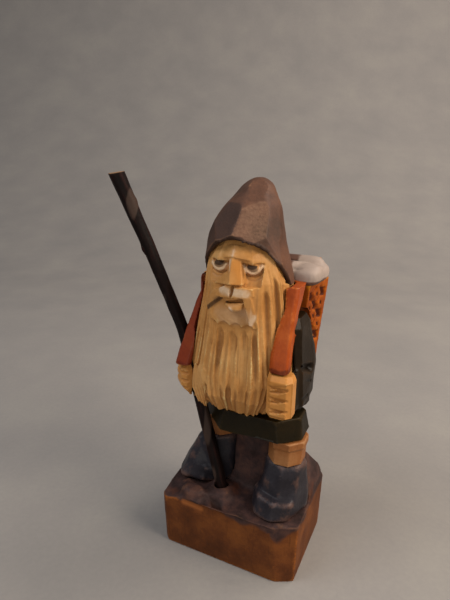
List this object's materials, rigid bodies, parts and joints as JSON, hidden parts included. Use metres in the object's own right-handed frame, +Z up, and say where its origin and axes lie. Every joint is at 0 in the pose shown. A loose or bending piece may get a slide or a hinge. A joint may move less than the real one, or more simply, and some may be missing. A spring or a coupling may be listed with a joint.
{
  "type": "carved nisse figure",
  "caption": "Carved and painted wooden nisse with a hooded cap, long beard, pack basket and a lift-out twig staff, standing on a rock base block.",
  "frame": {"origin": "centre of the base block's underside", "axes": "+Z up, -Y the way the figure faces, +X the figure's own left"},
  "size_m": [0.0712, 0.0402, 0.1366],
  "materials": {
    "rock_brown": "thin brown paint under satin varnish, worn at the edges",
    "shoe_slate": "slate paint under satin varnish",
    "stocking_cream": "thin cream stain under satin varnish",
    "coat_green": "dark green-black paint under satin varnish",
    "sleeve_grey": "grey-green paint under satin varnish",
    "bare_wood": "unpainted pale wood under satin varnish",
    "cap_brown": "brown-black paint under satin varnish",
    "strap_red": "red stain under satin varnish",
    "basket_orange": "orange-brown stain under satin varnish",
    "bundle_grey": "grey-white paint under satin varnish",
    "bark": "natural bark, dry",
    "dowel": "bare beech, unfinished"
  },
  "bodies": {
    "figure": {"base_block": "rock_brown", "left_leg_dowel": "dowel", "right_leg_dowel": "dowel", "left_shoe": "shoe_slate", "right_shoe": "shoe_slate", "left_stocking": "stocking_cream", "right_stocking": "stocking_cream", "coat": "coat_green", "neck_dowel": "dowel", "head_and_beard": "bare_wood", "cap": "cap_brown", "left_sleeve": "sleeve_grey", "right_sleeve": "sleeve_grey", "left_hand": "bare_wood", "right_hand": "bare_wood", "left_strap": "strap_red", "right_strap": "strap_red", "basket": "basket_orange", "lower_basket_dowel": "dowel", "upper_basket_dowel": "dowel", "bundle": "bundle_grey"},
    "twig_staff": {"staff": "bark"}
  },
  "joints": [
    {"name": "staff_lift", "type": "slide", "parent": "figure", "child": "twig_staff", "axis": [-0.2748, 0.0402, 0.9607], "range_m": [0, 0.065]}
  ]
}
